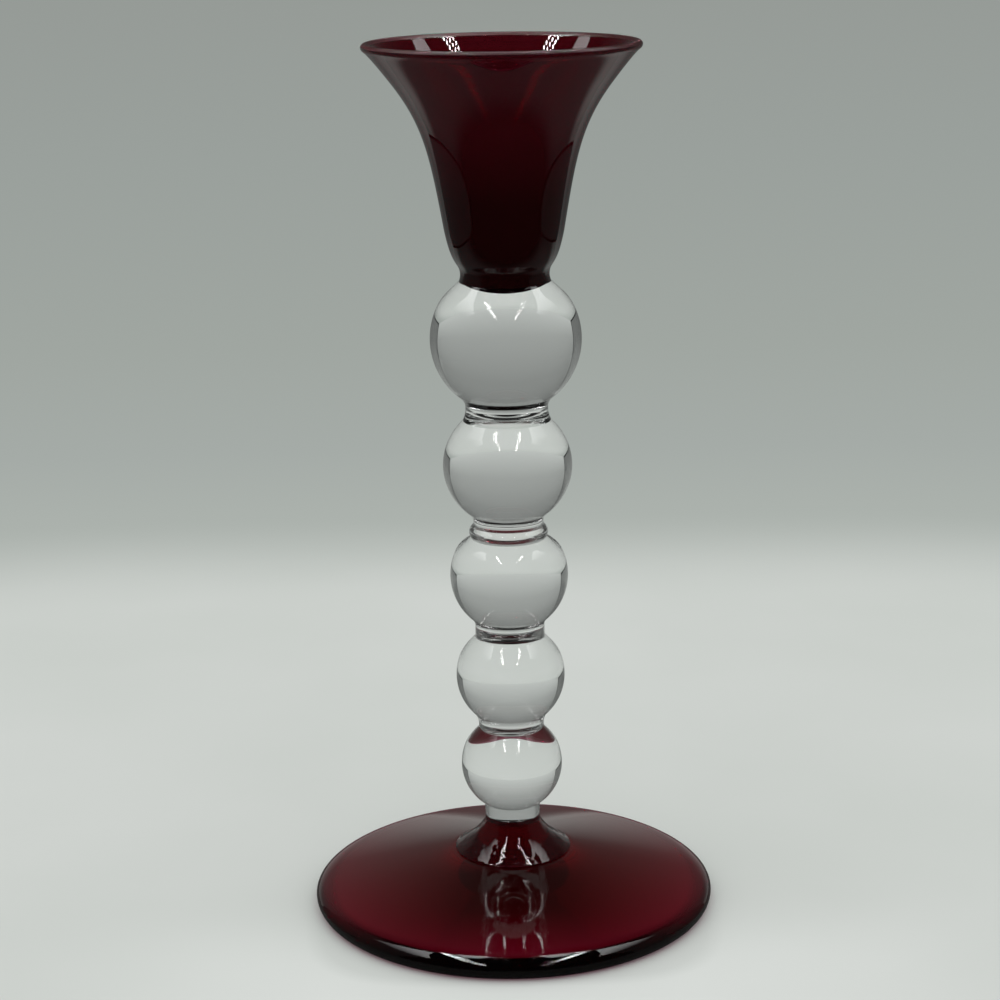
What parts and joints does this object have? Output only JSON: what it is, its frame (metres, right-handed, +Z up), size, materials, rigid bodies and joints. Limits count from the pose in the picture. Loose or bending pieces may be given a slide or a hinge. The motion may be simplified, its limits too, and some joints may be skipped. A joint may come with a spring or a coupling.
{
  "type": "candle holder",
  "caption": "Tall glass taper candle holder: a flared ruby trumpet cup on a stem of graded clear glass balls, with a broad ruby foot.",
  "frame": {"origin": "on the table plane, under the middle of the foot", "axes": "+Z up, the axis that every piece is turned about; -Y faces the camera of the picture, +X is its right"},
  "size_m": [0.1192, 0.1192, 0.2552],
  "materials": {
    "ruby_glass": "deep ruby red solid glass, almost black where it is thick, fire-polished smooth",
    "clear_glass": "colourless solid glass, smooth and clear"
  },
  "bodies": {
    "root": {"foot": "ruby_glass", "foot_collar": "ruby_glass", "wafer_1": "clear_glass", "ball_1": "clear_glass", "wafer_2": "clear_glass", "ball_2": "clear_glass", "wafer_3": "clear_glass", "ball_3": "clear_glass", "wafer_4": "clear_glass", "ball_4": "clear_glass", "wafer_5": "clear_glass", "ball_5": "clear_glass", "cup_seat": "ruby_glass", "candle_cup": "ruby_glass"}
  },
  "joints": []
}
